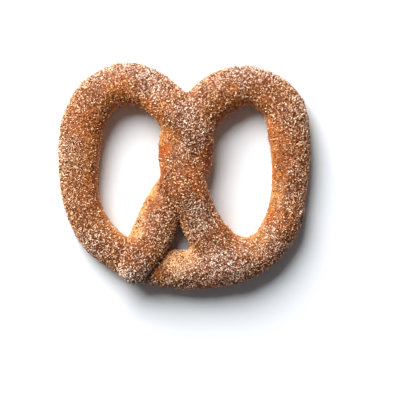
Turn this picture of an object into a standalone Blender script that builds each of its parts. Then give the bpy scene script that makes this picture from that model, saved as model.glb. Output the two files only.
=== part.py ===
"""Soft pretzel: one hand-rolled rope of dough, twisted twice, folded over its own belly and baked.

The pretzel lies on its flat underside. Its origin is at the middle of its box on the surface that it
rests on: +X runs across both lobes, +Y from the belly to the lobes, +Z up. The rope's route is a list
of stations in millimetres, and everything else follows from it.
"""

import bmesh
import bpy
import numpy as np
from mathutils import Matrix

MM = 0.001

ROPE_RADIUS = 10.5          # a usual half thickness of the rope; each station's own radius scales it
SPAN_STEPS = 6              # smooth points between two stations
ROPE_SIDES = 5              # bevel resolution of the rope's round section
END_SEGMENTS = 24           # facets round the ball that rounds off an end
END_RINGS = 14              # and from one of its poles to the other

FUSE_VOXEL = 1.3            # grid that bakes the touching strands into one body
FUSE_SMOOTHING = 0.5        # how far each pass of smoothing relaxes the surface
FUSE_PASSES = 5             # passes of smoothing, which round the creases between strands
KEPT_FACES = 0.135          # share of the fused mesh's faces that the finished body keeps

UNDERSIDE_DEPTH = 20.0      # thickness of the block that cuts the underside flat
UNDERSIDE_SIZE = 200.0      # its width both ways

CRUST_COLOUR = (0.52, 0.22, 0.07, 1.0)
CRUST_ROUGHNESS = 0.6

# The rope's route, from its first end round to its second: x, y, height of its centre, radius.
FIRST_ARM = [
    (-27.0, -50.5, 15.0, 9.2),      # first end, lying on the belly
    (-20.0, -38.0, 14.5, 11.2),
    (-12.5, -21.5, 9.0, 11.5),
    (-6.0, -9.5, 7.8, 11.0),
    (2.0, 1.5, 7.5, 11.4),          # under the second arm, at the lower crossing
    (6.0, 12.5, 11.0, 11.0),
    (3.0, 25.0, 16.0, 11.2),        # over the second arm, at the upper crossing
    (-6.0, 36.0, 15.5, 11.0),
]
FIRST_LOBE = [
    (-17.5, 46.5, 10.5, 11.2),
    (-31.0, 50.5, 8.8, 12.0),
    (-45.0, 45.5, 8.8, 12.0),
    (-54.5, 31.5, 8.7, 12.2),
    (-58.0, 14.0, 8.5, 11.8),
    (-58.0, -2.5, 8.2, 10.6),
    (-55.0, -19.0, 8.0, 10.4),
]
BELLY = [
    (-48.0, -32.5, 7.8, 10.4),
    (-35.5, -43.0, 7.8, 10.0),
    (-20.5, -49.5, 7.8, 10.2),
    (-3.5, -52.0, 8.2, 10.8),
    (14.5, -51.5, 8.4, 11.0),
    (31.5, -47.5, 8.4, 11.0),
    (46.0, -39.0, 8.2, 10.1),
    (54.5, -25.5, 8.0, 10.2),
]
SECOND_LOBE = [
    (57.8, -10.5, 7.8, 9.8),
    (59.0, 6.5, 8.2, 10.8),
    (58.0, 22.5, 8.6, 11.7),
    (53.5, 39.2, 8.6, 11.5),
    (37.5, 49.5, 8.6, 11.0),
    (21.0, 45.2, 8.8, 12.2),
]
SECOND_ARM = [
    (8.5, 34.5, 8.2, 12.0),         # under the first arm, at the upper crossing
    (-1.5, 23.0, 9.5, 10.6),
    (-3.0, 9.0, 14.0, 11.2),
    (1.0, -5.0, 16.5, 11.2),        # over the first arm, at the lower crossing
    (6.2, -18.5, 12.0, 10.9),
    (12.4, -31.5, 9.5, 11.2),
    (25.5, -44.0, 9.5, 10.2),       # second end, sunk into the belly
]


def clear_scene():
    """Remove every object that the file opened with."""
    for thing in list(bpy.data.objects):
        bpy.data.objects.remove(thing, do_unlink=True)


def smooth_route(stations, steps):
    """Points on a smooth curve through the stations, steps of them from one to the next."""
    knots = np.array(stations)
    first = 2.0 * knots[0] - knots[1]
    last = 2.0 * knots[-1] - knots[-2]
    knots = np.vstack([first, knots, last])
    points = []
    for before, start, end, after in zip(knots, knots[1:], knots[2:], knots[3:]):
        leave = (end - before) / 2.0
        arrive = (after - start) / 2.0
        for step in range(steps):
            t = step / steps
            points.append((2 * t**3 - 3 * t**2 + 1) * start + (t**3 - 2 * t**2 + t) * leave
                          + (3 * t**2 - 2 * t**3) * end + (t**3 - t**2) * arrive)
    points.append(knots[-2])
    return points


def rope_of_dough(name, points):
    """A round rope along the points, as thick at each as its fourth number says."""
    curve = bpy.data.curves.new(name, "CURVE")
    curve.dimensions = "3D"
    curve.resolution_u = 1
    curve.render_resolution_u = 0
    curve.bevel_depth = ROPE_RADIUS * MM
    curve.bevel_resolution = ROPE_SIDES
    curve.use_fill_caps = True
    spline = curve.splines.new("POLY")
    spline.points.add(len(points) - 1)
    for knot, (x, y, z, radius) in zip(spline.points, points):
        knot.co = (x * MM, y * MM, z * MM, 1.0)
        knot.radius = radius / ROPE_RADIUS
    rope = bpy.data.objects.new(name, curve)
    bpy.context.collection.objects.link(rope)
    return as_mesh(rope)


def rounded_end(name, station):
    """A ball that rounds off one end of the rope."""
    x, y, z, radius = station
    bpy.ops.mesh.primitive_uv_sphere_add(segments=END_SEGMENTS, ring_count=END_RINGS, radius=radius * MM,
                                         location=(x * MM, y * MM, z * MM))
    ball = bpy.context.object
    ball.name = name
    return ball


def as_mesh(thing):
    """Turn a curve, or a mesh with modifiers, into the plain mesh that it shows."""
    bpy.ops.object.select_all(action="DESELECT")
    bpy.context.view_layer.objects.active = thing
    thing.select_set(True)
    bpy.ops.object.convert(target="MESH")
    return bpy.context.object


def join(name, pieces):
    """Join the pieces into one object of this name, with its scale and place applied."""
    bpy.ops.object.select_all(action="DESELECT")
    for piece in pieces:
        piece.select_set(True)
    bpy.context.view_layer.objects.active = pieces[0]
    bpy.ops.object.join()
    joined = bpy.context.object
    joined.name = name
    bpy.ops.object.transform_apply(location=True, rotation=True, scale=True)
    return joined


def bake_together(body):
    """Fuse the strands where they touch, round the creases and thin out the mesh."""
    fuse = body.modifiers.new("fuse", "REMESH")
    fuse.mode = "VOXEL"
    fuse.voxel_size = FUSE_VOXEL * MM
    relax = body.modifiers.new("relax", "SMOOTH")
    relax.factor = FUSE_SMOOTHING
    relax.iterations = FUSE_PASSES
    thin = body.modifiers.new("thin", "DECIMATE")
    thin.ratio = KEPT_FACES
    return as_mesh(body)


def fill_trapped_pockets(body):
    """Drop every skin but the outer one, so that no hollow stays trapped between the strands."""
    shell = bmesh.new()
    shell.from_mesh(body.data)
    unseen = set(shell.verts)
    skins = []
    while unseen:
        skin = []
        edge_of_search = [unseen.pop()]
        while edge_of_search:
            corner = edge_of_search.pop()
            skin.append(corner)
            for edge in corner.link_edges:
                other = edge.other_vert(corner)
                if other in unseen:
                    unseen.remove(other)
                    edge_of_search.append(other)
        skins.append(skin)
    skins.sort(key=len)
    for pocket in skins[:-1]:
        bmesh.ops.delete(shell, geom=pocket, context="VERTS")
    shell.to_mesh(body.data)
    shell.free()


def flatten_underside(body):
    """Cut the underside flat at height zero, where the pretzel lay on its tray."""
    bpy.ops.mesh.primitive_cube_add(size=1.0, location=(0.0, 0.0, -UNDERSIDE_DEPTH * MM / 2.0))
    tray = bpy.context.object
    tray.name = "tray_cutter"
    tray.scale = (UNDERSIDE_SIZE * MM, UNDERSIDE_SIZE * MM, UNDERSIDE_DEPTH * MM)
    bpy.ops.object.transform_apply(location=True, rotation=True, scale=True)
    tray.hide_render = True
    tray.display_type = "WIRE"
    cut = body.modifiers.new("flat_underside", "BOOLEAN")
    cut.operation = "DIFFERENCE"
    cut.solver = "EXACT"
    cut.object = tray


def centre_over_origin(body):
    """Move the mesh so that the middle of its box stands over the origin."""
    places = np.array([corner.co for corner in body.data.vertices])
    middle = (places.min(axis=0) + places.max(axis=0)) / 2.0
    body.data.transform(Matrix.Translation((-middle[0], -middle[1], 0.0)))


def crust_material():
    """The golden brown of the baked crust."""
    crust = bpy.data.materials.new("crust")
    crust.use_nodes = True
    shader = crust.node_tree.nodes["Principled BSDF"]
    shader.inputs["Base Color"].default_value = CRUST_COLOUR
    shader.inputs["Roughness"].default_value = CRUST_ROUGHNESS
    shader.inputs["Metallic"].default_value = 0.0
    return crust


def build_pretzel():
    """Roll, twist, fuse and flatten the pretzel, and give it its crust."""
    stations = FIRST_ARM + FIRST_LOBE + BELLY + SECOND_LOBE + SECOND_ARM
    rope = rope_of_dough("rope", smooth_route(stations, SPAN_STEPS))
    ends = [rounded_end("first_end", stations[0]), rounded_end("second_end", stations[-1])]
    pretzel = bake_together(join("pretzel", [rope] + ends))
    pretzel.name = "pretzel"
    pretzel.data.name = "pretzel"
    pretzel.data.materials.clear()
    pretzel.data.materials.append(crust_material())
    pretzel.data.shade_smooth()
    fill_trapped_pockets(pretzel)
    centre_over_origin(pretzel)
    flatten_underside(pretzel)
    return pretzel


clear_scene()
build_pretzel()
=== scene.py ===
"""Looks of a soft pretzel: its baked crust, and the cinnamon and granulated sugar that it was rolled in.

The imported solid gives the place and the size. The crust is a fine skin over the same rope of dough, with its
furrows, swellings, lumps and blisters. On it lie separate crystals of sugar, some of them coated in cinnamon.
The ground cinnamon between them is in the materials. Lengths here are millimetres until a mesh is made, which
is in metres.
"""

import logging
import math
from dataclasses import dataclass, field
from enum import Enum

import bmesh
import bpy
import numpy as np
from mathutils import Matrix, Vector, noise


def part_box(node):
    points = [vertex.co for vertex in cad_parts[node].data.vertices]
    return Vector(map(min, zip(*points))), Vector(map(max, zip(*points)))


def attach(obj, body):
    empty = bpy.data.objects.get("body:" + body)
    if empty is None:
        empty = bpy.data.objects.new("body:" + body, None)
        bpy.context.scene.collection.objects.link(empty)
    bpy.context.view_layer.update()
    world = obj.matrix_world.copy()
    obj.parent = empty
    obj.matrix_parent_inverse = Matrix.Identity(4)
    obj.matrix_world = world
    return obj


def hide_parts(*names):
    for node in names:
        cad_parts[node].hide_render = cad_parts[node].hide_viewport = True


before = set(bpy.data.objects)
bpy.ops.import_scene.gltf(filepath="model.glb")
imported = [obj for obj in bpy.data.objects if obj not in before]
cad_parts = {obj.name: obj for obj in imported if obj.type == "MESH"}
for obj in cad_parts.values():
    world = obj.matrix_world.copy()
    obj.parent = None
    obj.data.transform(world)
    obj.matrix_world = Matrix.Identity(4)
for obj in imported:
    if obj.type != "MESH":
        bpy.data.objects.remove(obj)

MM = 0.001
NODE = "pretzel"
BODY = "root"
SEED = 7
BAKE_MAP = "OFBake"
BAKE_SPOT = 1.0 / 1024.0    # side of the smallest spot on a map that a material is baked on
NO_LENGTH = 1e-6            # the shortest length that anything is divided by
NO_FILLET = 1e-4            # the narrowest fillet

log = logging.getLogger("pretzel")
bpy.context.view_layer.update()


class Slot(Enum):
    """The names of the record's material slots."""

    CRUST = "crust"
    SUGAR = "sugar"


# --- the rope of dough --------------------------------------------------------------------------------------

# The rope's route, from its first end round to its second: x, y, height of its centre, radius.
FIRST_ARM = (
    (-27.0, -50.5, 15.0, 9.2),
    (-20.0, -38.0, 14.5, 11.2),
    (-12.5, -21.5, 9.0, 11.5),
    (-6.0, -9.5, 7.8, 11.0),
    (2.0, 1.5, 7.5, 11.4),
    (6.0, 12.5, 11.0, 11.0),
    (3.0, 25.0, 16.0, 11.2),
    (-6.0, 36.0, 15.5, 11.0),
)
FIRST_LOBE = (
    (-17.5, 46.5, 10.5, 11.2),
    (-31.0, 50.5, 8.8, 12.0),
    (-45.0, 45.5, 8.8, 12.0),
    (-54.5, 31.5, 8.7, 12.2),
    (-58.0, 14.0, 8.5, 11.8),
    (-58.0, -2.5, 8.2, 10.6),
    (-55.0, -19.0, 8.0, 10.4),
)
BELLY = (
    (-48.0, -32.5, 7.8, 10.4),
    (-35.5, -43.0, 7.8, 10.0),
    (-20.5, -49.5, 7.8, 10.2),
    (-3.5, -52.0, 8.2, 10.8),
    (14.5, -51.5, 8.4, 11.0),
    (31.5, -47.5, 8.4, 11.0),
    (46.0, -39.0, 8.2, 10.1),
    (54.5, -25.5, 8.0, 10.2),
)
SECOND_LOBE = (
    (57.8, -10.5, 7.8, 9.8),
    (59.0, 6.5, 8.2, 10.8),
    (58.0, 22.5, 8.6, 11.7),
    (53.5, 39.2, 8.6, 11.5),
    (37.5, 49.5, 8.6, 11.0),
    (21.0, 45.2, 8.8, 12.2),
)
SECOND_ARM = (
    (8.5, 34.5, 8.2, 12.0),
    (-1.5, 23.0, 9.5, 10.6),
    (-3.0, 9.0, 14.0, 11.2),
    (1.0, -5.0, 16.5, 11.2),
    (6.2, -18.5, 12.0, 10.9),
    (12.4, -31.5, 9.5, 11.2),
    (25.5, -44.0, 9.5, 10.2),
)
ROUTE = FIRST_ARM + FIRST_LOBE + BELLY + SECOND_LOBE + SECOND_ARM
SPAN_STEPS = 6


def smooth_route(stations: tuple, steps: int = SPAN_STEPS) -> np.ndarray:
    """Run a smooth curve through the stations.

    Args:
        stations: Rows of x, y, height and radius.
        steps: Points from one station to the next.

    Returns:
        The curve's points, one row each, with the same four numbers.
    """
    knots = np.array(stations)
    knots = np.vstack([2.0 * knots[0] - knots[1], knots, 2.0 * knots[-1] - knots[-2]])
    points = []
    for before, start, end, after in zip(knots, knots[1:], knots[2:], knots[3:]):
        leave = (end - before) / 2.0
        arrive = (after - start) / 2.0
        for step in range(steps):
            t = step / steps
            points.append((2 * t**3 - 3 * t**2 + 1) * start + (t**3 - 2 * t**2 + t) * leave
                          + (3 * t**2 - 2 * t**3) * end + (t**3 - t**2) * arrive)
    points.append(knots[-2])
    return np.array(points)


def smooth_step(low: float, high: float, value: np.ndarray) -> np.ndarray:
    """Rise smoothly from 0 at low to 1 at high."""
    t = np.clip((value - low) / (high - low), 0.0, 1.0)
    return t * t * (3.0 - 2.0 * t)


@dataclass(frozen=True)
class Fade:
    """Something that comes in smoothly while a reading rises from low to high."""

    low: float
    high: float

    def at(self, readings: np.ndarray) -> np.ndarray:
        """How far it has come in at some readings, from 0 to 1."""
        return smooth_step(self.low, self.high, readings)


def waves(places: np.ndarray, length: float, start: float = 0.0) -> np.ndarray:
    """Smooth random waves at some places, mostly between -0.5 and 0.5.

    Args:
        places: Rows of x, y and z.
        length: How far apart two waves lie.
        start: Where in the noise to begin, so that two sets of waves differ.

    Returns:
        One number for each place.
    """
    return np.array([noise.noise(Vector(place)) for place in places / length + start])


class Strand:
    """A stretch of the rope, as a chain of cones with round ends."""

    BLOCK = 4096    # places measured at a time

    def __init__(self, points: np.ndarray) -> None:
        """Keep the stretch's points as cones.

        Args:
            points: Rows of x, y, height and radius along the stretch.
        """
        self.tail = points[:-1, :3]
        self.run = points[1:, :3] - points[:-1, :3]
        self.run_square = (self.run**2).sum(axis=1)
        self.radius = points[:-1, 3]
        self.taper = points[1:, 3] - points[:-1, 3]

    def reach(self, places: np.ndarray) -> tuple[np.ndarray, np.ndarray]:
        """Measure how far places are from the strand's skin.

        Args:
            places: Rows of x, y and z.

        Returns:
            The distances, negative inside, and the unit directions away from the strand's middle.
        """
        distances = np.empty(len(places))
        outward = np.empty((len(places), 3))
        for start in range(0, len(places), self.BLOCK):
            block = places[start:start + self.BLOCK]
            offset = block[:, None, :] - self.tail[None]
            t = np.clip(np.einsum("nmk,mk->nm", offset, self.run) / self.run_square, 0.0, 1.0)
            away = offset - t[..., None] * self.run
            length = np.sqrt(np.einsum("nmk,nmk->nm", away, away))
            skin = length - (self.radius + t * self.taper)
            pick = skin.argmin(axis=1)
            rows = np.arange(len(block))
            distances[start:start + self.BLOCK] = skin[rows, pick]
            own_length = np.maximum(length[rows, pick], NO_LENGTH)
            outward[start:start + self.BLOCK] = away[rows, pick] / own_length[:, None]
        return distances, outward


def melt(first: tuple, second: tuple, width: np.ndarray) -> tuple[np.ndarray, np.ndarray]:
    """Join two skins with a fillet.

    Args:
        first: Distances and directions of one skin.
        second: The same of the other.
        width: How wide the fillet is, at each place.

    Returns:
        The joined skin's distances and directions.
    """
    width = np.maximum(width, NO_FILLET)
    share = np.clip(0.5 + 0.5 * (second[0] - first[0]) / width, 0.0, 1.0)
    distances = second[0] * (1 - share) + first[0] * share - width * share * (1 - share)
    directions = second[1] * (1 - share)[:, None] + first[1] * share[:, None]
    return distances, directions


@dataclass
class Dough:
    """The rope of dough as a skin that can be measured anywhere."""

    lobe_before: int = 5             # stations of the first lobe that go with the first arm
    lobe_after: int = 1              # stations of the second lobe that go with the belly
    twist_fillet: float = 5.5        # where the arms have grown together in the twist
    crossing_fillet: float = 1.3     # where they part again below it
    end_fillet: float = 1.0          # where the first end lies on the belly
    merged_fillet: float = 7.0       # where the second end has melted into the belly
    underside_fillet: float = 2.2    # round the flat underside
    above_belly: Fade = Fade(-28.0, -12.0)    # y over which the fillets on the belly end
    in_twist: Fade = Fade(-22.0, 6.0)         # y over which the arms' fillet widens
    grown: Fade = Fade(-14.0, 5.0)            # y over which the furrow between the arms fills up
    to_right: Fade = Fade(-8.0, 6.0)          # x over which the fillet on the belly widens
    grown_gap: float = 3.0           # what is added to the arms' gap where they have grown together
    melted_gap: float = 6.0          # what is added to the belly's where an end is melted in, or not near
    least_away: float = 0.2          # the least length that a blended direction is divided by
    swell: float = 0.55              # height of the slow swellings of the rope
    swell_length: float = 17.0
    lump: float = 0.28               # height of the lumps of the crust
    lump_length: float = 6.0
    lump_start: float = 9.0          # where in the noise the lumps begin
    blister: float = 0.14            # height of its small blisters
    blister_length: float = 2.2
    coat_room: float = 0.3           # how much thinner the bare rope is than the sugared one
    strands: tuple[Strand, ...] = field(init=False)

    def __post_init__(self) -> None:
        """Cut the rope into its first half, its belly and its second half."""
        points = smooth_route(ROUTE)
        belly_start = (len(FIRST_ARM) + self.lobe_before) * SPAN_STEPS
        belly_end = (len(FIRST_ARM) + len(FIRST_LOBE) + len(BELLY) + self.lobe_after) * SPAN_STEPS
        self.strands = (Strand(points[:belly_start + 1]), Strand(points[belly_start:belly_end + 1]),
                        Strand(points[belly_end:]))

    def measure(self, places: np.ndarray) -> dict:
        """Measure the dough's skin at some places.

        Args:
            places: Rows of x, y and z.

        Returns:
            The distance from the skin, the direction away from it, and how close two strands lie.
        """
        first, belly, second = (strand.reach(places) for strand in self.strands)
        near_belly = 1.0 - self.above_belly.at(places[:, 1])
        in_twist = self.in_twist.at(places[:, 1])
        to_right = self.to_right.at(places[:, 0])
        arm_fillet = self.crossing_fillet + (self.twist_fillet - self.crossing_fillet) * in_twist
        arms = melt(first, second, arm_fillet)
        belly_fillet = (self.end_fillet + (self.merged_fillet - self.end_fillet) * to_right) * near_belly
        body = melt(arms, belly, belly_fillet)
        arm_gap = np.abs(first[0] - second[0]) + self.grown_gap * self.grown.at(places[:, 1])
        arm_gap += np.maximum(arms[0] - belly[0], 0.0)
        belly_gap = np.abs(arms[0] - belly[0]) + self.melted_gap * to_right
        belly_gap += self.melted_gap * (1.0 - near_belly)
        table = (-places[:, 2], np.tile((0.0, 0.0, -1.0), (len(places), 1)))
        skin, away = self.cut(body, table)
        away /= np.maximum(np.linalg.norm(away, axis=1), self.least_away)[:, None]
        return {"skin": skin, "away": away, "gap": np.minimum(arm_gap, belly_gap)}

    def cut(self, body: tuple, table: tuple) -> tuple[np.ndarray, np.ndarray]:
        """Take away what is under the table, leaving a rounded edge.

        Args:
            body: Distances and directions of the dough's skin.
            table: The same of the table's top.

        Returns:
            The cut skin's distances and directions.
        """
        width = np.full(len(body[0]), self.underside_fillet)
        skin, away = melt((-body[0], -body[1]), (-table[0], -table[1]), width)
        return -skin, -away

    def relief(self, places: np.ndarray) -> np.ndarray:
        """How far the crust stands out of the plain rope at some places.

        Args:
            places: Rows of x, y and z.

        Returns:
            The heights, negative where the crust lies deeper.
        """
        lumps = self.lump * waves(places, self.lump_length, self.lump_start)
        blisters = self.blister * waves(places, self.blister_length)
        return self.swell * waves(places, self.swell_length) + lumps + blisters - self.coat_room


@dataclass
class Patch:
    """A round patch of the pretzel, seen from above, with a soft edge."""

    SOFT_EDGE = Fade(0.45, 1.25)    # where it ends, as a share of its radius

    x: float
    y: float
    radius: float
    strength: float

    def weight(self, places: np.ndarray) -> np.ndarray:
        """The patch's strength at some places."""
        away = np.hypot(places[:, 0] - self.x, places[:, 1] - self.y)
        return self.strength * (1.0 - self.SOFT_EDGE.at(away / self.radius))


# --- shaders ------------------------------------------------------------------------------------------------

Socket = bpy.types.NodeSocket
MIX_SHARE, MIX_FIRST, MIX_SECOND = 0, 6, 7    # the places of the inputs that a Mix node of colours uses
MIX_RESULT = 2                                # the place of its output


def new_material(name: str) -> tuple[bpy.types.Material, bpy.types.NodeTree, bpy.types.Node]:
    """Start a node material.

    Args:
        name: The material's name.

    Returns:
        The material, its tree and its Principled shader.
    """
    material = bpy.data.materials.new(name)
    material.use_nodes = True
    tree = material.node_tree
    return material, tree, tree.nodes["Principled BSDF"]


def add_node(tree: bpy.types.NodeTree, kind: str, inputs: dict | None = None, **settings) -> bpy.types.Node:
    """Add a node to a tree.

    Args:
        tree: The tree.
        kind: The node's type.
        inputs: Values or output sockets for its inputs, by name or place.
        settings: Properties of the node.

    Returns:
        The node.
    """
    node = tree.nodes.new(kind)
    for key, value in settings.items():
        setattr(node, key, value)
    for key, value in (inputs or {}).items():
        if isinstance(value, Socket):
            tree.links.new(value, node.inputs[key])
        else:
            node.inputs[key].default_value = value
    return node


def mix_colour(tree: bpy.types.NodeTree, share: float | Socket, first: tuple | Socket,
               second: tuple | Socket) -> Socket:
    """Mix two colours.

    Args:
        tree: The tree that the node goes in.
        share: A value or socket, 0 for the first colour and 1 for the second.
        first: A colour or socket.
        second: A colour or socket.

    Returns:
        The socket of the mixed colour.
    """
    node = tree.nodes.new("ShaderNodeMix")
    node.data_type = "RGBA"
    for place, value in ((MIX_SHARE, share), (MIX_FIRST, first), (MIX_SECOND, second)):
        if isinstance(value, Socket):
            tree.links.new(value, node.inputs[place])
        else:
            node.inputs[place].default_value = value
    return node.outputs[MIX_RESULT]


def math_node(tree: bpy.types.NodeTree, operation: str, first: float | Socket,
              second: float | Socket) -> Socket:
    """Work out one number from two.

    Args:
        tree: The tree that the node goes in.
        operation: The Math node's operation.
        first: A value or socket.
        second: A value or socket.

    Returns:
        The result's socket.
    """
    return add_node(tree, "ShaderNodeMath", {0: first, 1: second}, operation=operation).outputs[0]


@dataclass(frozen=True)
class CinnamonDust:
    """Ground cinnamon, as clouds of fine specks, which the crust and the sugar share."""

    cloud_detail: float = 3.0
    speck_detail: float = 2.0
    cloud_weight: float = 0.6
    speck_weight: float = 0.9
    highest_edge: float = 1.05    # the clouds and specks together that show as dust when the cover is 0
    cover_drop: float = 0.6       # how much less is enough when the cover is 1
    softness: float = 0.14        # how soon a speck's edge is full dust

    def group(self) -> bpy.types.NodeTree:
        """Build the node group.

        Returns:
            The group, which puts out a mask of the dust and its height.
        """
        tree = bpy.data.node_groups.new("cinnamon_dust", "ShaderNodeTree")
        for name in ("Cloud Size", "Speck Size", "Cover"):
            tree.interface.new_socket(name, in_out="INPUT", socket_type="NodeSocketFloat")
        for name in ("Mask", "Height"):
            tree.interface.new_socket(name, in_out="OUTPUT", socket_type="NodeSocketFloat")
        inside = tree.nodes.new("NodeGroupInput").outputs
        outside = tree.nodes.new("NodeGroupOutput")
        place = add_node(tree, "ShaderNodeTexCoord").outputs["Object"]
        cloud_scale = math_node(tree, "DIVIDE", 1.0 / MM, inside["Cloud Size"])
        speck_scale = math_node(tree, "DIVIDE", 1.0 / MM, inside["Speck Size"])
        clouds = add_node(tree, "ShaderNodeTexNoise",
                          {"Vector": place, "Scale": cloud_scale, "Detail": self.cloud_detail}).outputs["Fac"]
        specks = add_node(tree, "ShaderNodeTexNoise",
                          {"Vector": place, "Scale": speck_scale, "Detail": self.speck_detail}).outputs["Fac"]
        both = math_node(tree, "ADD", math_node(tree, "MULTIPLY", clouds, self.cloud_weight),
                         math_node(tree, "MULTIPLY", specks, self.speck_weight))
        drop = math_node(tree, "MULTIPLY", inside["Cover"], self.cover_drop)
        edge = math_node(tree, "SUBTRACT", self.highest_edge, drop)
        full = math_node(tree, "ADD", edge, self.softness)
        mask = add_node(tree, "ShaderNodeMapRange", {"Value": both, "From Min": edge, "From Max": full})
        tree.links.new(mask.outputs[0], outside.inputs["Mask"])
        tree.links.new(specks, outside.inputs["Height"])
        return tree


@dataclass(frozen=True)
class DustAmount:
    """How the ground cinnamon lies on one of the materials."""

    cloud_size: float
    speck_size: float
    cover: float

    def add_to(self, tree: bpy.types.NodeTree, dust: bpy.types.NodeTree) -> bpy.types.Node:
        """Add the cinnamon to a material.

        Args:
            tree: The material's tree.
            dust: The cinnamon group.

        Returns:
            The group's node.
        """
        values = {"Cloud Size": self.cloud_size, "Speck Size": self.speck_size, "Cover": self.cover}
        return add_node(tree, "ShaderNodeGroup", values, node_tree=dust)


@dataclass(frozen=True)
class BrowningAndShade:
    """How the dough browned, with painted shade in its creases, which the crust shares with the crystals that
    it shows through.
    """

    mottle_scale: float = 150.0    # mottles to the metre
    mottle_detail: float = 5.0
    mottle_middle: float = 0.5

    def group(self) -> bpy.types.NodeTree:
        """Build the node group.

        Returns:
            The group, which puts out the baked colour with the painted crease shade mixed in.
        """
        tree = bpy.data.node_groups.new("bake_colour_and_shade", "ShaderNodeTree")
        for name in ("Golden", "Brown", "Toasted", "Pale", "Crease Shade"):
            tree.interface.new_socket(name, in_out="INPUT", socket_type="NodeSocketColor")
        for name in ("Upper", "Toast", "Paleness", "Crease", "Patchiness"):
            tree.interface.new_socket(name, in_out="INPUT", socket_type="NodeSocketFloat")
        tree.interface.new_socket("Color", in_out="OUTPUT", socket_type="NodeSocketColor")
        inside = tree.nodes.new("NodeGroupInput").outputs
        outside = tree.nodes.new("NodeGroupOutput")
        place = add_node(tree, "ShaderNodeTexCoord").outputs["Object"]
        mottle = add_node(tree, "ShaderNodeTexNoise",
                          {"Vector": place, "Scale": self.mottle_scale, "Detail": self.mottle_detail})
        swing = math_node(tree, "SUBTRACT", mottle.outputs["Fac"], self.mottle_middle)
        swing = math_node(tree, "MULTIPLY", swing, inside["Patchiness"])
        browned = add_node(tree, "ShaderNodeMath", {0: inside["Upper"], 1: swing}, operation="ADD",
                           use_clamp=True).outputs[0]
        colour = mix_colour(tree, browned, inside["Golden"], inside["Brown"])
        colour = mix_colour(tree, inside["Toast"], colour, inside["Toasted"])
        colour = mix_colour(tree, inside["Paleness"], colour, inside["Pale"])
        # painted shade: darkens the colour towards the crease tone where two strands meet
        colour = mix_colour(tree, inside["Crease"], colour, inside["Crease Shade"])
        tree.links.new(colour, outside.inputs["Color"])
        return tree


@dataclass(frozen=True)
class BakeTonesAndShade:
    """The colours that the dough bakes to, and the painted shade of its creases."""

    ATTRIBUTES = {"Upper": "upper", "Toast": "toast", "Paleness": "pale", "Crease": "crease"}

    golden: tuple = (0.50, 0.150, 0.018, 1.0)    # walls that face the loops
    brown: tuple = (0.18, 0.040, 0.005, 1.0)     # tops and outer sides
    toasted: tuple = (0.36, 0.074, 0.007, 1.0)   # orange-red patches
    pale: tuple = (0.80, 0.46, 0.17, 1.0)        # where the dough stayed covered longest, and painted light on the lower walls and edges round the loops
    crease_shade: tuple = (0.075, 0.016, 0.005, 1.0)     # painted shade in the creases between the strands
    patchiness: float = 1.4                      # how far the mottles swing between golden and brown

    def add_to(self, tree: bpy.types.NodeTree, bake: bpy.types.NodeTree) -> Socket:
        """Add the baked colour to a material.

        Args:
            tree: The material's tree.
            bake: The group that mixes the tones.

        Returns:
            The socket of the baked colour.
        """
        values = {"Golden": self.golden, "Brown": self.brown, "Toasted": self.toasted, "Pale": self.pale,
                  "Crease Shade": self.crease_shade, "Patchiness": self.patchiness}
        for name, attribute in self.ATTRIBUTES.items():
            values[name] = add_node(tree, "ShaderNodeAttribute", attribute_name=attribute).outputs["Fac"]
        return add_node(tree, "ShaderNodeGroup", values, node_tree=bake).outputs["Color"]


@dataclass(frozen=True)
class CrustFinish:
    """Baked crust with ground cinnamon stuck to it."""

    tones: BakeTonesAndShade = BakeTonesAndShade()
    cinnamon: tuple = (0.11, 0.027, 0.007, 1.0)
    amount: DustAmount = DustAmount(cloud_size=6.0, speck_size=0.6, cover=0.66)
    least_stuck: float = 0.25    # share of the cinnamon that sticks where there is no sugar
    all_stuck: float = 0.5       # amount of sugar where all of it sticks
    roughness: float = 0.4
    dusty_roughness: float = 0.8
    gloss: float = 0.3
    pore_scale: float = 1500.0   # pores to the metre
    pore_detail: float = 3.0
    bump_strength: float = 0.5
    bump_height: float = 0.15

    def material(self, dust: bpy.types.NodeTree, bake: bpy.types.NodeTree) -> bpy.types.Material:
        """Build the crust's material.

        Args:
            dust: The cinnamon group.
            bake: The group that mixes the baked tones.

        Returns:
            The material.
        """
        material, tree, shader = new_material("crust")
        place = add_node(tree, "ShaderNodeTexCoord").outputs["Object"]
        colour = self.tones.add_to(tree, bake)
        cinnamon = self.amount.add_to(tree, dust)
        mask = cinnamon.outputs["Mask"]
        sugared = add_node(tree, "ShaderNodeAttribute", attribute_name="sugar").outputs["Fac"]
        stuck = add_node(tree, "ShaderNodeMapRange",
                         {"Value": sugared, "From Max": self.all_stuck,
                          "To Min": self.least_stuck}).outputs[0]
        colour = mix_colour(tree, math_node(tree, "MULTIPLY", mask, stuck), colour, self.cinnamon)
        tree.links.new(colour, shader.inputs["Base Color"])
        rough = add_node(tree, "ShaderNodeMapRange",
                         {"Value": mask, "To Min": self.roughness, "To Max": self.dusty_roughness}).outputs[0]
        tree.links.new(rough, shader.inputs["Roughness"])
        shader.inputs["Specular IOR Level"].default_value = self.gloss
        pores = add_node(tree, "ShaderNodeTexNoise",
                         {"Vector": place, "Scale": self.pore_scale, "Detail": self.pore_detail})
        height = math_node(tree, "ADD", pores.outputs["Fac"], cinnamon.outputs["Height"])
        bump = add_node(tree, "ShaderNodeBump",
                        {"Height": height, "Strength": self.bump_strength, "Distance": self.bump_height * MM})
        tree.links.new(bump.outputs["Normal"], shader.inputs["Normal"])
        return material


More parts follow.
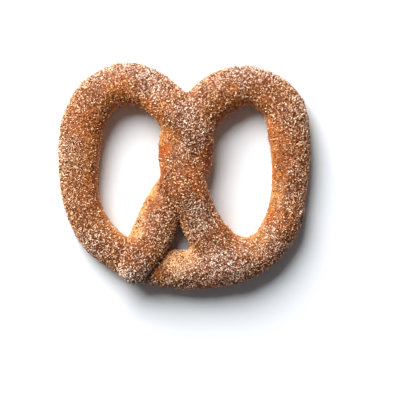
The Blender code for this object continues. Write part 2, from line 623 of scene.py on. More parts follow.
@dataclass(frozen=True)
class SugarFinish:
    """Granulated sugar: white and clear crystals, buttery ones that show the crust, and brown ones."""

    tones: BakeTonesAndShade = BakeTonesAndShade()
    white: tuple = (1.0, 0.82, 0.68, 1.0)        # loose dry sugar
    clear: tuple = (1.0, 0.62, 0.35, 1.0)        # crystals stuck in butter
    honey: tuple = (0.80, 0.30, 0.09, 1.0)       # light through the crystals over the crust
    brown: tuple = (0.10, 0.022, 0.005, 1.0)     # crystals coated in cinnamon
    honey_share: float = 0.5                     # how much of a buttery crystal's colour isn't the crust's
    clear_tints: tuple = (0.1, 0.45)             # tints from all clear to all buttery
    coated_tints: tuple = (0.6, 0.95)            # tints from not coated to all coated
    powder: DustAmount = DustAmount(cloud_size=9.0, speck_size=0.4, cover=0.3)
    powder_share: float = 0.4                    # how much of the powder's colour a crystal takes
    roughness: float = 0.13
    coated_roughness: float = 0.63
    gloss: float = 0.32

    def material(self, dust: bpy.types.NodeTree, bake: bpy.types.NodeTree) -> bpy.types.Material:
        """Build the sugar's material, which reads each crystal's tint and the crust under it.

        Args:
            dust: The cinnamon group.
            bake: The group that mixes the baked tones.

        Returns:
            The material.
        """
        material, tree, shader = new_material("sugar")
        tint = add_node(tree, "ShaderNodeAttribute", attribute_name="tint").outputs["Fac"]
        frost = add_node(tree, "ShaderNodeAttribute", attribute_name="frost").outputs["Fac"]
        clearness = add_node(tree, "ShaderNodeMapRange",
                             {"Value": tint, "From Min": self.clear_tints[0], "From Max": self.clear_tints[1],
                              "To Min": 1.0, "To Max": 0.0}).outputs[0]
        coated = add_node(tree, "ShaderNodeMapRange",
                          {"Value": tint, "From Min": self.coated_tints[0],
                           "From Max": self.coated_tints[1]}).outputs[0]
        under = mix_colour(tree, self.honey_share, self.tones.add_to(tree, bake), self.honey)
        bright = mix_colour(tree, frost, self.clear, self.white)
        colour = mix_colour(tree, clearness, under, bright)
        colour = mix_colour(tree, coated, colour, self.brown)
        powder = self.powder.add_to(tree, dust)
        dusted = math_node(tree, "MULTIPLY", powder.outputs["Mask"], self.powder_share)
        colour = mix_colour(tree, dusted, colour, self.brown)
        tree.links.new(colour, shader.inputs["Base Color"])
        rough = add_node(tree, "ShaderNodeMapRange",
                         {"Value": coated, "To Min": self.roughness,
                          "To Max": self.coated_roughness}).outputs[0]
        tree.links.new(rough, shader.inputs["Roughness"])
        shader.inputs["Specular IOR Level"].default_value = self.gloss
        return material


# --- the crust ----------------------------------------------------------------------------------------------

def link(thing: bpy.types.Object) -> bpy.types.Object:
    """Put an object in the scene."""
    bpy.context.scene.collection.objects.link(thing)
    return thing


def as_mesh(thing: bpy.types.Object) -> bpy.types.Object:
    """Turn an object into the plain mesh that it shows."""
    bpy.ops.object.select_all(action="DESELECT")
    bpy.context.view_layer.objects.active = thing
    thing.select_set(True)
    bpy.ops.object.convert(target="MESH")
    return bpy.context.object


def coordinates(mesh: bpy.types.Mesh) -> np.ndarray:
    """A mesh's corners, one row each, in millimetres."""
    flat = np.empty(len(mesh.vertices) * 3)
    mesh.vertices.foreach_get("co", flat)
    return flat.reshape(-1, 3) / MM


def corner_normals(mesh: bpy.types.Mesh) -> np.ndarray:
    """The directions out of a mesh at its corners, one row each."""
    flat = np.empty(len(mesh.vertices) * 3)
    mesh.vertices.foreach_get("normal", flat)
    return flat.reshape(-1, 3)


def set_coordinates(mesh: bpy.types.Mesh, places: np.ndarray) -> None:
    """Move a mesh's corners to places in millimetres."""
    mesh.vertices.foreach_set("co", (places * MM).ravel())
    mesh.update()


def set_values(mesh: bpy.types.Mesh, name: str, values: np.ndarray, domain: str = "POINT") -> None:
    """Store one number for each corner or face of a mesh."""
    mesh.attributes.new(name, "FLOAT", domain).data.foreach_set("value", values.astype(np.float32))


def read_values(mesh: bpy.types.Mesh, name: str) -> np.ndarray:
    """The numbers stored for a mesh's corners."""
    values = np.empty(len(mesh.vertices), np.float32)
    mesh.attributes[name].data.foreach_get("value", values)
    return values


def set_map(mesh: bpy.types.Mesh, spots: np.ndarray) -> None:
    """Give a mesh a map to bake its material on, one spot for each corner of each face."""
    layer = mesh.uv_layers.new(name=BAKE_MAP, do_init=False)
    layer.uv.foreach_set("vector", spots.astype(np.float32).ravel())


@dataclass
class Crust:
    """The baked skin of the pretzel."""

    grid: float = 0.70               # edge length of the fine mesh
    rope_rounding: int = 7           # how finely the plain rope's section is rounded
    end_segments: int = 32           # the same for the balls on its ends
    end_rings: int = 18
    settle_steps: int = 5            # how often the mesh is pulled onto the dough's skin
    relief_rise: Fade = Fade(0.0, 5.0)           # height over which the lumps come in above the table
    outer_top: Fade = Fade(-0.25, 0.55)          # how far up an outer side faces where it browns
    inner_top: Fade = Fade(0.15, 0.75)           # the same on a side that faces a loop
    wall_facing: Fade = Fade(0.05, 0.5)          # how far up a wall round a loop faces where it ends
    wall_rise: Fade = Fade(0.5, 3.0)             # height over which it begins
    pale_walls: float = 0.4                      # how pale it stays: dough that baked less there, and painted bounce light
    pale_rise: Fade = Fade(2.0, 9.0)             # height over which the pale spots begin
    low_toast: float = 0.3                       # share of the toasting that is left on the table
    toast_rise: Fade = Fade(3.0, 11.0)           # height over which it rises to all of it
    stray: float = 7.0                           # how far the edges of the patches stray
    stray_length: float = 9.0
    stray_starts: tuple = (20.0, 25.0)           # where in the noise they begin to, along x and along y
    far_facing: Fade = Fade(0.15, 0.75)          # how far a slope faces outwards where sugar gathers
    far_place: Fade = Fade(25.0, 48.0)           # y over which it begins to
    far_frost: float = 0.3
    crease_width: float = 1.8
    crease_rise: Fade = Fade(1.0, 6.0)           # height over which the creases begin
    crease_bare: float = 0.8                     # share of the sugar that a crease lacks
    plain_sugar: float = 0.75                    # share of the sugar where there is no frosting
    outer_least: float = 0.12                    # share of the sugar on the lowest outer sides
    outer_sugar: Fade = Fade(-0.35, 0.35)        # how far up they face where there is more
    inner_least: float = 0.10                    # the same on the sides that face the loops
    inner_sugar: Fade = Fade(0.38, 0.80)
    sugar_rise: Fade = Fade(1.5, 6.0)            # height over which the sugar begins
    glaze_on_top: float = 0.5                    # how much less butter shines on the tops
    golden_glaze: float = 0.8                    # how much of it shines on the golden patches
    toast_glaze: float = 0.4                     # and on the toasted ones
    clump_length: float = 3.6                    # how far apart the clumps of sugar lie
    clump_start: float = 40.0                    # where in the noise they begin
    loop_look: Fade = Fade(-0.1, 0.5)            # how straight a side looks at a loop's middle to face it
    loop_edge: Fade = Fade(38.0, 52.0)           # distance from the middle over which sides stop facing it
    strips: int = 3                  # strips that the unrolled skin is cut into on its map
    strip_margin: float = 0.02       # space left round a strip, as a share of it
    longest_face: float = 4.0        # a face that is longer on the map goes from one strand to another
    widest_face: float = 0.15        # one that is wider, as a share of a turn, crosses the seam
    loop_middles: tuple = ((-31.0, 4.0), (32.0, 5.0))
    toasted: tuple = (
        Patch(-12.5, 12.0, 6.0, 1.0), Patch(-11.0, 1.0, 6.0, 0.8), Patch(13.0, 11.0, 8.0, 1.0),
        Patch(12.5, 0.0, 7.0, 0.8), Patch(13.5, -11.0, 7.0, 0.8), Patch(-20.0, -36.0, 10.0, 0.4),
        Patch(3.0, -6.0, 11.0, 0.6), Patch(68.0, 12.0, 14.0, 0.6), Patch(68.0, -10.0, 12.0, 0.6),
        Patch(60.0, -30.0, 12.0, 0.6), Patch(46.0, -48.0, 10.0, 0.6), Patch(28.0, -58.0, 11.0, 0.6),
        Patch(10.0, -61.0, 10.0, 0.5), Patch(-55.0, 30.0, 10.0, 0.4), Patch(22.0, 35.0, 8.0, 0.7),
        Patch(34.0, 37.0, 8.0, 0.5), Patch(-28.0, 38.0, 9.0, 0.4), Patch(28.5, -18.0, 6.0, 0.5),
        Patch(-17.0, -49.0, 6.0, 0.6), Patch(-48.0, -14.0, 9.0, 0.3),
    )
    golden: tuple = (
        Patch(-11.0, 22.0, 7.0, 0.9), Patch(-20.0, -12.0, 9.0, 0.8), Patch(-48.0, 24.0, 12.0, 0.8),
        Patch(-49.0, 2.0, 11.0, 0.8), Patch(-34.0, 45.0, 12.0, 0.85), Patch(49.0, 20.0, 12.0, 0.85),
        Patch(50.5, -2.0, 12.0, 0.85), Patch(47.0, -23.0, 10.0, 0.7), Patch(-15.0, 38.0, 9.0, 0.5),
        Patch(36.0, -38.0, 10.0, 0.5), Patch(19.0, -24.0, 6.0, 0.8), Patch(-15.0, -56.0, 5.0, 0.7),
        Patch(20.0, -63.0, 8.0, 0.5), Patch(40.0, 41.0, 9.0, 0.5), Patch(27.0, 42.0, 8.0, 0.6),
    )
    # Spots of paler dough; those on the edges round the lower loops are partly painted light.
    pale_spots: tuple = (
        Patch(-2.0, -46.0, 10.0, 0.9), Patch(-18.5, -11.0, 5.0, 0.6), Patch(-24.5, -20.0, 5.0, 0.6),
        Patch(-30.0, -30.0, 7.0, 0.65), Patch(-13.5, 24.0, 5.0, 0.6), Patch(40.0, -34.0, 8.0, 0.4),
        Patch(50.0, -10.0, 8.0, 0.4), Patch(-42.0, -26.0, 8.0, 0.4), Patch(-56.0, 6.0, 10.0, 0.25),
    )
    frosted: tuple = (
        Patch(-22.0, 54.0, 14.0, 0.65), Patch(-44.0, 58.0, 11.0, 0.4), Patch(0.0, 33.0, 10.0, 0.7),
        Patch(6.0, 20.0, 8.0, 0.8), Patch(36.0, 57.0, 16.0, 0.6), Patch(13.0, -21.0, 13.0, 0.65),
        Patch(24.5, -49.0, 15.0, 0.95), Patch(-26.5, -55.0, 12.0, 1.0), Patch(63.0, 30.0, 14.0, 0.4),
        Patch(46.0, -38.0, 13.0, 0.65), Patch(-68.0, 12.0, 14.0, 0.4), Patch(-17.0, -28.0, 12.0, 0.4),
        Patch(2.0, -56.0, 12.0, 0.6), Patch(60.0, -8.0, 14.0, 0.4), Patch(-50.0, -40.0, 13.0, 0.5),
        Patch(56.0, 10.0, 10.0, 0.2),
    )
    bare: tuple = (
        Patch(-13.0, 13.0, 5.5, 0.85), Patch(-12.5, 2.0, 4.0, 0.5), Patch(14.5, 9.0, 5.5, 0.8),
        Patch(14.5, -6.0, 5.0, 0.6), Patch(-23.0, -18.0, 4.0, 0.4), Patch(-34.0, 40.0, 8.0, 0.3),
        Patch(50.0, 10.0, 8.0, 0.25), Patch(-15.0, -57.0, 4.0, 0.6), Patch(21.5, -27.0, 4.0, 0.4),
    )

    def build(self, dough: Dough) -> bpy.types.Object:
        """Make the crust's mesh with the numbers that its material and its sugar read.

        Args:
            dough: The skin to follow.

        Returns:
            The crust.
        """
        crust = self.fused_rope()
        mesh = crust.data
        places = coordinates(mesh)
        rise = dough.relief(places)
        for _ in range(self.settle_steps):
            found = dough.measure(places)
            off = found["skin"] - rise * self.relief_rise.at(places[:, 2])
            places = places - off[:, None] * found["away"]
        places[:, 2] = np.maximum(places[:, 2], 0.0)
        low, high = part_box(NODE)
        middle = (places.min(axis=0) + places.max(axis=0)) / 2.0
        shift_x = (low.x + high.x) / 2.0 / MM - middle[0]
        shift_y = (low.y + high.y) / 2.0 / MM - middle[1]
        found = dough.measure(places)
        set_coordinates(mesh, places + np.array((shift_x, shift_y, 0.0)))
        mesh.shade_smooth()
        self.mark(mesh, places, found["gap"])
        self.unroll(mesh, places)
        return crust

    def fused_rope(self) -> bpy.types.Object:
        """A plain round rope along the route, fused where it touches itself, with a fine even mesh."""
        points = smooth_route(ROUTE)
        curve = bpy.data.curves.new("crust", "CURVE")
        curve.dimensions = "3D"
        curve.bevel_depth = MM
        curve.bevel_resolution = self.rope_rounding
        curve.use_fill_caps = True
        spline = curve.splines.new("POLY")
        spline.points.add(len(points) - 1)
        for knot, (x, y, z, radius) in zip(spline.points, points):
            knot.co = (x * MM, y * MM, z * MM, 1.0)
            knot.radius = radius
        rope = as_mesh(link(bpy.data.objects.new("crust", curve)))
        shell = bmesh.new()
        shell.from_mesh(rope.data)
        for x, y, z, radius in (points[0], points[-1]):
            bmesh.ops.create_uvsphere(shell, u_segments=self.end_segments, v_segments=self.end_rings,
                                      radius=radius * MM,
                                      matrix=Matrix.Translation((x * MM, y * MM, z * MM)))
        shell.to_mesh(rope.data)
        shell.free()
        fuse = rope.modifiers.new("fuse", "REMESH")
        fuse.mode = "VOXEL"
        fuse.voxel_size = self.grid * MM
        rope = as_mesh(rope)
        rope.name = "crust"
        self.drop_pockets(rope.data)
        return rope

    def drop_pockets(self, mesh: bpy.types.Mesh) -> None:
        """Keep only the outer skin of a mesh."""
        shell = bmesh.new()
        shell.from_mesh(mesh)
        unseen = set(shell.verts)
        skins = []
        while unseen:
            skin, ahead = [], [unseen.pop()]
            while ahead:
                corner = ahead.pop()
                skin.append(corner)
                for edge in corner.link_edges:
                    other = edge.other_vert(corner)
                    if other in unseen:
                        unseen.remove(other)
                        ahead.append(other)
            skins.append(skin)
        skins.sort(key=len)
        for pocket in skins[:-1]:
            bmesh.ops.delete(shell, geom=pocket, context="VERTS")
        shell.to_mesh(mesh)
        shell.free()

    def mark(self, mesh: bpy.types.Mesh, places: np.ndarray, gap: np.ndarray) -> None:
        """Store where the crust is browned, toasted, pale, creased and sugared; the creases also carry painted
        shade, and the pale walls and edges round the loops carry painted light.

        Args:
            mesh: The crust's mesh.
            places: Its corners, in the rope's own coordinates.
            gap: How close two strands lie at each corner.
        """
        normals = corner_normals(mesh)
        facing_up, height = normals[:, 2], places[:, 2]
        inward = self.facing_loops(places, normals)
        strayed = places.copy()
        for axis, start in enumerate(self.stray_starts):
            strayed[:, axis] += self.stray * waves(places, self.stray_length, start)
        outer_top = self.outer_top.at(facing_up)
        inner_top = self.inner_top.at(facing_up)
        golden = self.spread(self.golden, strayed)
        toast = self.spread(self.toasted, strayed)
        toast *= self.low_toast + (1.0 - self.low_toast) * self.toast_rise.at(height)
        # Painted bounce light: the lower walls round the loops are made paler, on dough that baked less there.
        wall = inward * (1.0 - self.wall_facing.at(facing_up)) * self.wall_rise.at(height)
        pale = self.spread(self.pale_spots, strayed) * self.pale_rise.at(height)
        # Painted shade: the crust turns towards the dark crease tone where two strands meet, and the same mask
        # bares the sugar there.
        crease = np.exp(-(gap / self.crease_width) ** 2) * self.crease_rise.at(height)
        far_slope = self.far_facing.at(normals[:, 1]) * self.far_place.at(places[:, 1])
        frost = self.spread(self.frosted, strayed) + self.far_frost * far_slope * (1.0 - inward)
        frost = np.clip(frost, 0.0, 1.0)
        outer_sugar = self.outer_least + (1.0 - self.outer_least) * self.outer_sugar.at(facing_up)
        inner_sugar = self.inner_least + (1.0 - self.inner_least) * self.inner_sugar.at(facing_up)
        sugar = self.plain_sugar + (1.0 - self.plain_sugar) * frost
        sugar *= outer_sugar * (1.0 - inward) + inner_sugar * inward
        sugar *= 1.0 - self.crease_bare * crease
        sugar *= 1.0 - self.spread(self.bare, strayed)
        sugar *= self.sugar_rise.at(height)
        glaze = inward * (1.0 - self.glaze_on_top * inner_top) + self.golden_glaze * golden
        glaze = np.clip(glaze + self.toast_glaze * toast, 0.0, 1.0)
        set_values(mesh, "upper", (outer_top * (1.0 - inward) + inner_top * inward) * (1.0 - golden))
        set_values(mesh, "toast", toast)
        set_values(mesh, "pale", np.maximum(pale, self.pale_walls * wall))
        set_values(mesh, "crease", crease)
        set_values(mesh, "frost", frost)
        set_values(mesh, "sugar", sugar)
        set_values(mesh, "glaze", glaze)
        set_values(mesh, "clump", waves(places, self.clump_length, self.clump_start))

    def unroll(self, mesh: bpy.types.Mesh, places: np.ndarray) -> None:
        """Map the crust as the rope's skin, slit along its underside, rolled out flat and cut into strips.

        Args:
            mesh: The crust's mesh.
            places: Its corners, in the rope's own coordinates.
        """
        points = smooth_route(ROUTE)
        middle, radius = points[:, :3], points[:, 3]
        travelled = np.concatenate([[0.0], np.cumsum(np.linalg.norm(np.diff(middle, axis=0), axis=1))])
        ahead = np.gradient(middle, axis=0)
        ahead /= np.linalg.norm(ahead, axis=1)[:, None]
        side = np.cross(ahead, (0.0, 0.0, 1.0))
        side /= np.linalg.norm(side, axis=1)[:, None]
        along, turn = np.empty(len(places)), np.empty(len(places))
        for start in range(0, len(places), Strand.BLOCK):
            offset = places[start:start + Strand.BLOCK, None, :] - middle[None]
            nearest = (np.linalg.norm(offset, axis=2) - radius).argmin(axis=1)
            offset = offset[np.arange(len(offset)), nearest]
            along[start:start + Strand.BLOCK] = travelled[nearest] + (offset * ahead[nearest]).sum(axis=1)
            sideways = (offset * side[nearest]).sum(axis=1)
            turn[start:start + Strand.BLOCK] = np.arctan2(sideways, offset[:, 2]) / math.tau + 0.5
        corners = np.empty(len(mesh.loops), np.int32)
        mesh.loops.foreach_get("vertex_index", corners)
        corners = corners.reshape(-1, 4)
        along = (along - along.min()) / (along.max() - along.min()) * self.strips
        strip = np.clip(np.floor(along[corners[:, :1]]), 0, self.strips - 1)
        spots = np.stack([np.clip(along[corners] - strip, 0.0, 1.0), turn[corners]], axis=2)
        too_long = np.ptp(along[corners], axis=1) > self.longest_face * self.strips / travelled[-1]
        broken = too_long | (np.ptp(turn[corners], axis=1) > self.widest_face)
        spots = self.strip_margin + spots * (1.0 - 2.0 * self.strip_margin)
        spots[:, :, 1] = (spots[:, :, 1] + strip) / self.strips
        cell = np.array(((0.0, 0.0), (1.0, 0.0), (1.0, 1.0), (0.0, 1.0))) * BAKE_SPOT
        spots[broken] = spots[broken][:, :1] + cell
        log.info("crust: %d of %d faces cross a seam", broken.sum(), len(broken))
        set_map(mesh, spots)

    def spread(self, patches: tuple, places: np.ndarray) -> np.ndarray:
        """The strength of several patches together at some places, at most 1."""
        return np.clip(sum(patch.weight(places) for patch in patches), 0.0, 1.0)

    def facing_loops(self, places: np.ndarray, normals: np.ndarray) -> np.ndarray:
        """How much each corner looks into one of the two loops, from 0 to 1.

        Args:
            places: The corners.
            normals: Their directions out of the crust.

        Returns:
            One number for each corner.
        """
        facing = np.zeros(len(places))
        for middle in self.loop_middles:
            towards = np.array(middle) - places[:, :2]
            away = np.linalg.norm(towards, axis=1)
            look = (normals[:, :2] * towards).sum(axis=1) / np.maximum(away, 1.0)
            facing = np.maximum(facing, self.loop_look.at(look) * (1.0 - self.loop_edge.at(away)))
        return facing

    def dress(self, crust: bpy.types.Object, material: bpy.types.Material) -> None:
        """Give the crust its material and its place in the frame."""
        crust.data.materials.clear()
        crust.data.materials.append(material)
        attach(crust, BODY)
        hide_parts(NODE)


# --- the sugar ----------------------------------------------------------------------------------------------

class Grain(Enum):
    """The shapes that sugar crystals come in."""

    BLOCK = 0
    WEDGE = 1
    SHARD = 2


BLOCK_FACES = ((0, 3, 2, 1), (4, 5, 6, 7), (0, 1, 5, 4), (1, 2, 6, 5), (2, 3, 7, 6), (3, 0, 4, 7))
SHARD_FACES = ((0, 2, 4), (2, 1, 4), (1, 3, 4), (3, 0, 4), (2, 0, 5), (1, 2, 5), (3, 1, 5), (0, 3, 5))
GRAIN_FACES = {Grain.BLOCK: BLOCK_FACES, Grain.WEDGE: BLOCK_FACES, Grain.SHARD: SHARD_FACES}
# The corners of a crystal that is about 1 long.
GRAIN_CORNERS = {
    Grain.BLOCK: ((-.5, -.36, -.34), (.5, -.4, -.34), (.44, .4, -.34), (-.54, .36, -.34),
                  (-.44, -.34, .34), (.46, -.3, .34), (.4, .36, .34), (-.5, .3, .34)),
    Grain.WEDGE: ((-.5, -.42, -.34), (.5, -.42, -.34), (.5, .42, -.34), (-.5, .42, -.34),
                  (-.2, -.36, .4), (.46, -.3, .34), (.4, .3, .34), (-.16, .34, .4)),
    Grain.SHARD: ((-.5, 0., 0.), (.5, .05, 0.), (0., -.42, 0.),
                  (.05, .4, .04), (0., .05, .42), (.04, 0., -.4)),
}
# Where the corners of a face with 3 or 4 sides lie in its crystal's cell of the map.
CELL_SPOTS = {3: ((.15, .15), (.85, .15), (.5, .85)), 4: ((.15, .15), (.85, .15), (.85, .85), (.15, .85))}
UNDER = ("upper", "toast", "pale", "crease", "frost")    # the crust's numbers that a crystal's material reads

# Where one coat ends and the next begins.
FAR = 999.0
TWIST_LEFT = -14.0
TWIST_RIGHT = 19.0
LOBE_START = 20.0
BELLY_START = -30.0
BELLY_MIDDLE = 0.0


@dataclass(frozen=True)
class SugarCoat:
    """The crystals of sugar on one stretch of the pretzel."""

    name: str
    low: tuple[float, float]     # least x and y
    high: tuple[float, float]    # x and y that it stays under

    def rows(self, places: np.ndarray) -> np.ndarray:
        """Which of some places are on this stretch."""
        inside = (places[:, :2] >= self.low) & (places[:, :2] < self.high)
        return np.flatnonzero(inside.all(axis=1))


@dataclass
class Sugar:
    """All the sugar on the pretzel, split into coats."""

    tries: int = 260000              # crystals thrown at the crust
    usual_size: float = 0.53
    spread: float = 0.34             # how much the sizes differ, as a share
    smallest: float = 0.30
    largest: float = 0.92
    spacing: float = 0.88            # closest two crystals lie, as a share of their size
    standing: float = 0.2            # how far a crystal's middle stands out, as a share of its size
    cover_power: float = 0.5         # how the chance that a crystal sticks follows the amount of sugar
    shapes: tuple = (0.45, 0.25, 0.3)            # share of each shape
    least_stretch: tuple = (1.0, 0.68, 0.65)     # length, width and thickness, as shares of the size
    most_stretch: tuple = (1.5, 1.05, 1.0)
    clear_share: tuple = (0.43, 0.62)            # share of clear crystals, without and with frosting
    clear_growth: float = 0.9                    # how much it rises for each millimetre of size
    brown_share: tuple = (0.38, 0.31)            # share of crystals coated in cinnamon
    clumping: float = 0.13                       # how much more of them are clear in a clump
    soaked: tuple = (0.6, 0.4)                   # share of clear and of brown ones that butter soaks
    washed: float = 0.5                          # share of brown ones that are clean on pale dough
    clear_tints: tuple = (0.0, 0.3)
    buttery_tints: tuple = (0.35, 0.6)
    brown_tints: tuple = (0.7, 1.0)
    coats: tuple = (
        SugarCoat("sugar_left_lobe", (-FAR, LOBE_START), (TWIST_LEFT, FAR)),
        SugarCoat("sugar_left_side", (-FAR, BELLY_START), (TWIST_LEFT, LOBE_START)),
        SugarCoat("sugar_right_lobe", (TWIST_RIGHT, LOBE_START), (FAR, FAR)),
        SugarCoat("sugar_right_side", (TWIST_RIGHT, BELLY_START), (FAR, LOBE_START)),
        SugarCoat("sugar_twist", (TWIST_LEFT, BELLY_START), (TWIST_RIGHT, FAR)),
        SugarCoat("sugar_left_belly", (-FAR, -FAR), (BELLY_MIDDLE, BELLY_START)),
        SugarCoat("sugar_right_belly", (BELLY_MIDDLE, -FAR), (FAR, BELLY_START)),
    )

    def scatter(self, crust: bpy.types.Object) -> dict:
        """Choose where the crystals lie.

        Args:
            crust: The crust, with its numbers.

        Returns:
            The crystals' places, directions out of the crust, sizes and the crust's numbers under them.
        """
        rng = np.random.default_rng(SEED)
        mesh = crust.data
        mesh.calc_loop_triangles()
        corners = np.empty(len(mesh.loop_triangles) * 3, np.int32)
        mesh.loop_triangles.foreach_get("vertices", corners)
        corners = corners.reshape(-1, 3)
        places = coordinates(mesh)
        sugar = read_values(mesh, "sugar")
        edge_one = places[corners[:, 1]] - places[corners[:, 0]]
        edge_two = places[corners[:, 2]] - places[corners[:, 0]]
        area = np.linalg.norm(np.cross(edge_one, edge_two), axis=1) / 2.0
        weight = area * np.maximum(sugar[corners].mean(axis=1), 0.0)
        chosen = rng.choice(len(corners), self.tries, p=weight / weight.sum())
        share = rng.random((self.tries, 2))
        folded = share.sum(axis=1) > 1.0
        share[folded] = 1.0 - share[folded]
        spot = places[corners[chosen, 0]] + share[:, :1] * edge_one[chosen] + share[:, 1:] * edge_two[chosen]
        size = self.usual_size * np.exp(rng.normal(0.0, self.spread, self.tries))
        size = np.clip(size, self.smallest, self.largest)
        wanted = rng.random(self.tries) < sugar[corners[chosen, 0]] ** self.cover_power
        spot, size, chosen = spot[wanted], size[wanted], chosen[wanted]
        kept = self.thin_out(spot, size)
        under = corners[chosen[kept], 0]
        found = {name: read_values(mesh, name)[under] for name in UNDER}
        return {"spot": spot[kept], "out": corner_normals(mesh)[under], "size": size[kept], "under": found,
                "clump": read_values(mesh, "clump")[under], "glaze": read_values(mesh, "glaze")[under]}

    def thin_out(self, spot: np.ndarray, size: np.ndarray) -> np.ndarray:
        """Keep the crystals that don't crowd one kept before them.

        Args:
            spot: The crystals' places.
            size: Their sizes.

        Returns:
            Which crystals are kept.
        """
        cell = self.largest * self.spacing
        taken = {}
        kept = []
        keys = np.floor(spot / cell).astype(int)
        near = [(a, b, c) for a in (-1, 0, 1) for b in (-1, 0, 1) for c in (-1, 0, 1)]
        places = spot.tolist()
        sizes = size.tolist()
        for index, (i, j, k) in enumerate(keys.tolist()):
            x, y, z = places[index]
            own = sizes[index]
            free = True
            for a, b, c in near:
                for u, v, w, other in taken.get((i + a, j + b, k + c), ()):
                    room = self.spacing * (own + other) / 2.0
                    if (x - u) ** 2 + (y - v) ** 2 + (z - w) ** 2 < room * room:
                        free = False
                        break
                if not free:
                    break
            if free:
                taken.setdefault((i, j, k), []).append((x, y, z, own))
                kept.append(index)
        return np.array(kept)

    def build(self, crust: bpy.types.Object) -> list:
        """Make the coats of sugar.

        Args:
            crust: The crust that they lie on.

        Returns:
            The coats' objects.
        """
        grains = self.scatter(crust)
        rng = np.random.default_rng(SEED + 1)
        count = len(grains["size"])
        log.info("crystals of sugar: %d", count)
        turn = self.random_turns(rng, count)
        shape = rng.choice(len(Grain), count, p=self.shapes)
        stretch = rng.uniform(self.least_stretch, self.most_stretch, (count, 3)) * grains["size"][:, None]
        numbers = grains["under"] | {"tint": self.tints(rng, grains)}
        middle = grains["spot"] + grains["out"] * (grains["size"] * self.standing)[:, None]
        made = []
        for coat in self.coats:
            rows = coat.rows(middle)
            rows = rows[np.argsort(shape[rows], kind="stable")]
            made.append(self.pour(coat.name, rows, shape, stretch, turn, middle, numbers))
        return made

    def tints(self, rng: np.random.Generator, grains: dict) -> np.ndarray:
        """Choose each crystal's tint: low for clear, middle for buttery and high for brown.

        Args:
            rng: The random numbers to use.
            grains: The crystals, as scatter gives them.

        Returns:
            The tints, from 0 to 1.
        """
        frost, pale = grains["under"]["frost"], grains["under"]["pale"]
        count = len(frost)
        draw = rng.random(count)
        drift = self.clumping * grains["clump"]
        clear = self.clear_share[0] + (self.clear_share[1] - self.clear_share[0]) * frost
        clear += self.clear_growth * (grains["size"] - self.usual_size) + drift
        clear *= 1.0 - self.soaked[0] * grains["glaze"]
        brown = self.brown_share[0] + (self.brown_share[1] - self.brown_share[0]) * frost - drift
        brown *= (1.0 - self.soaked[1] * grains["glaze"]) * (1.0 - self.washed * pale)
        clear_tint = rng.uniform(*self.clear_tints, count)
        buttery_tint = rng.uniform(*self.buttery_tints, count)
        brown_tint = rng.uniform(*self.brown_tints, count)
        return np.where(draw > 1.0 - brown, brown_tint, np.where(draw < clear, clear_tint, buttery_tint))

    def pour(self, name: str, rows: np.ndarray, shape: np.ndarray, stretch: np.ndarray, turn: np.ndarray,
             middle: np.ndarray, numbers: dict) -> bpy.types.Object:
        """Make one coat's mesh.

        Args:
            name: The coat's name.
            rows: The crystals in it, sorted by shape.
            shape: Every crystal's shape.
            stretch: Every crystal's size along its own three axes.
            turn: Every crystal's rotation.
            middle: Every crystal's place.
            numbers: Every crystal's values for the material.

        Returns:
            The coat.
        """
        columns = math.ceil(math.sqrt(len(rows)))
        corners, faces, cells, counts = [], [], [], []
        start = 0
        for kind in Grain:
            mine = rows[shape[rows] == kind.value]
            base = np.array(GRAIN_CORNERS[kind])
            body = np.einsum("nij,nkj->nki", turn[mine], base[None] * stretch[mine][:, None, :])
            corners.append((body + middle[mine, None, :]).reshape(-1, 3) * MM)
            firsts = start + np.arange(len(mine)) * len(base)
            pattern = GRAIN_FACES[kind]
            for first in firsts.tolist():
                faces.extend([tuple(first + corner for corner in face) for face in pattern])
            corner_cells = np.array([spot for face in pattern for spot in CELL_SPOTS[len(face)]])
            number = sum(own for _, own in counts) + np.arange(len(mine))
            origin = np.stack([number % columns, number // columns], axis=1)
            cells.append(((origin[:, None, :] + corner_cells[None]) / columns).reshape(-1, 2))
            counts.append((len(pattern), len(mine)))
            start += len(mine) * len(base)
        mesh = bpy.data.meshes.new(name)
        mesh.from_pydata(np.concatenate(corners).tolist(), [], faces)
        repeats = np.concatenate([np.full(own, pattern) for pattern, own in counts])
        for key, values in numbers.items():
            set_values(mesh, key, np.repeat(values[rows], repeats), "FACE")
        set_map(mesh, np.concatenate(cells))
        return link(bpy.data.objects.new(name, mesh))

    def random_turns(self, rng: np.random.Generator, count: int) -> np.ndarray:
        """Random rotations, one 3 by 3 matrix each."""
        w, x, y, z = rng.normal(size=(4, count))
        length = np.sqrt(w * w + x * x + y * y + z * z)
        w, x, y, z = w / length, x / length, y / length, z / length
        rows = [1 - 2 * (y * y + z * z), 2 * (x * y - z * w), 2 * (x * z + y * w),
                2 * (x * y + z * w), 1 - 2 * (x * x + z * z), 2 * (y * z - x * w),
                2 * (x * z - y * w), 2 * (y * z + x * w), 1 - 2 * (x * x + y * y)]
        return np.stack(rows, axis=1).reshape(-1, 3, 3)

    def dress(self, coats: list, material: bpy.types.Material) -> None:
        """Give the coats their material and their place in the frame."""
        for coat in coats:
            coat.data.materials.append(material)
            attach(coat, BODY)


# --- the studio ---------------------------------------------------------------------------------------------

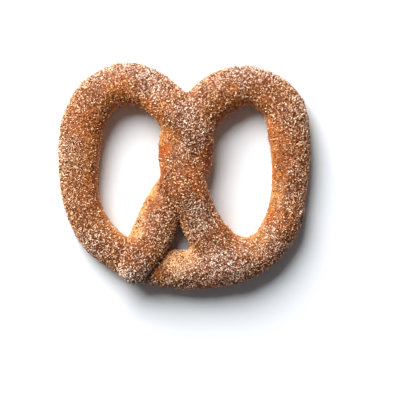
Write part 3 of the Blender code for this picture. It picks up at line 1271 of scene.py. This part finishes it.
@dataclass
class Studio:
    """The pale floor, the soft light and the camera."""

    floor_size: float = 4.0          # metres
    floor_drop: float = 0.1          # how far the floor lies under the pretzel
    floor_colour: tuple = (0.79, 0.82, 0.845, 1.0)
    floor_roughness: float = 0.9
    view_width: float = 0.223        # metres of the floor that the camera sees
    view_middle: tuple = (8.7, -13.3)
    view_height: float = 1.0         # metres
    key_power: float = 42.8          # watts
    key_size: float = 1.17           # metres
    key_distance: float = 1.2        # metres
    key_turn: float = 120.0          # degrees from +X round to +Y
    key_rise: float = 39.0           # degrees above the floor
    sky: float = 0.115
    sky_colour: tuple = (0.90, 0.95, 1.0, 1.0)
    backdrop: float = 1.0            # how bright the camera sees the sky
    backdrop_colour: tuple = (1.0, 1.0, 1.0, 1.0)

    def build(self) -> None:
        """Set up the floor, the light, the sky and the camera."""
        self.build_floor()
        self.build_key()
        self.build_sky()
        self.build_camera()

    def build_floor(self) -> None:
        """Lay the floor."""
        bpy.ops.mesh.primitive_plane_add(size=self.floor_size, location=(0.0, 0.0, -self.floor_drop * MM))
        floor = bpy.context.object
        floor.name = "floor"
        material, _, shader = new_material("floor")
        shader.inputs["Base Color"].default_value = self.floor_colour
        shader.inputs["Roughness"].default_value = self.floor_roughness
        shader.inputs["Specular IOR Level"].default_value = 0.0
        floor.data.materials.append(material)

    def build_key(self) -> None:
        """Hang the lamp, turned to the pretzel."""
        lamp = bpy.data.lights.new("key", "AREA")
        lamp.shape = "DISK"
        lamp.size = self.key_size
        lamp.energy = self.key_power
        key = link(bpy.data.objects.new("key", lamp))
        turn, rise = math.radians(self.key_turn), math.radians(self.key_rise)
        towards = Vector((math.cos(rise) * math.cos(turn), math.cos(rise) * math.sin(turn), math.sin(rise)))
        key.location = self.key_distance * towards
        key.rotation_euler = (-key.location).to_track_quat("-Z", "Y").to_euler()

    def build_sky(self) -> None:
        """Set the faint light from all round, which the camera sees as white."""
        world = bpy.data.worlds.new("sky")
        world.use_nodes = True
        bpy.context.scene.world = world
        tree = world.node_tree
        shade = tree.nodes["Background"]
        seen = add_node(tree, "ShaderNodeLightPath").outputs["Is Camera Ray"]
        tint = mix_colour(tree, seen, self.sky_colour, self.backdrop_colour)
        tree.links.new(tint, shade.inputs["Color"])
        strength = add_node(tree, "ShaderNodeMapRange",
                            {"Value": seen, "To Min": self.sky, "To Max": self.backdrop})
        tree.links.new(strength.outputs[0], shade.inputs["Strength"])

    def build_camera(self) -> None:
        """Put the camera straight above the floor's middle of view."""
        lens = bpy.data.cameras.new("camera")
        lens.lens = lens.sensor_width * self.view_height / self.view_width
        camera = link(bpy.data.objects.new("camera", lens))
        camera.location = (self.view_middle[0] * MM, self.view_middle[1] * MM, self.view_height)
        bpy.context.scene.camera = camera
        bpy.context.scene.view_settings.view_transform = "Standard"


def main() -> None:
    """Build the pretzel's looks in order."""
    logging.basicConfig(level=logging.INFO, format="%(name)s: %(message)s")
    dust, bake = CinnamonDust().group(), BrowningAndShade().group()
    crust_maker = Crust()
    crust = crust_maker.build(Dough())
    crust_maker.dress(crust, CrustFinish().material(dust, bake))
    log.info("crust: %d faces", len(crust.data.polygons))
    sugar = Sugar()
    coats = sugar.build(crust)
    sugar.dress(coats, SugarFinish().material(dust, bake))
    for coat in coats:
        log.info("%s: %d faces", coat.name, len(coat.data.polygons))
    Studio().build()


if __name__ == "__main__":
    main()
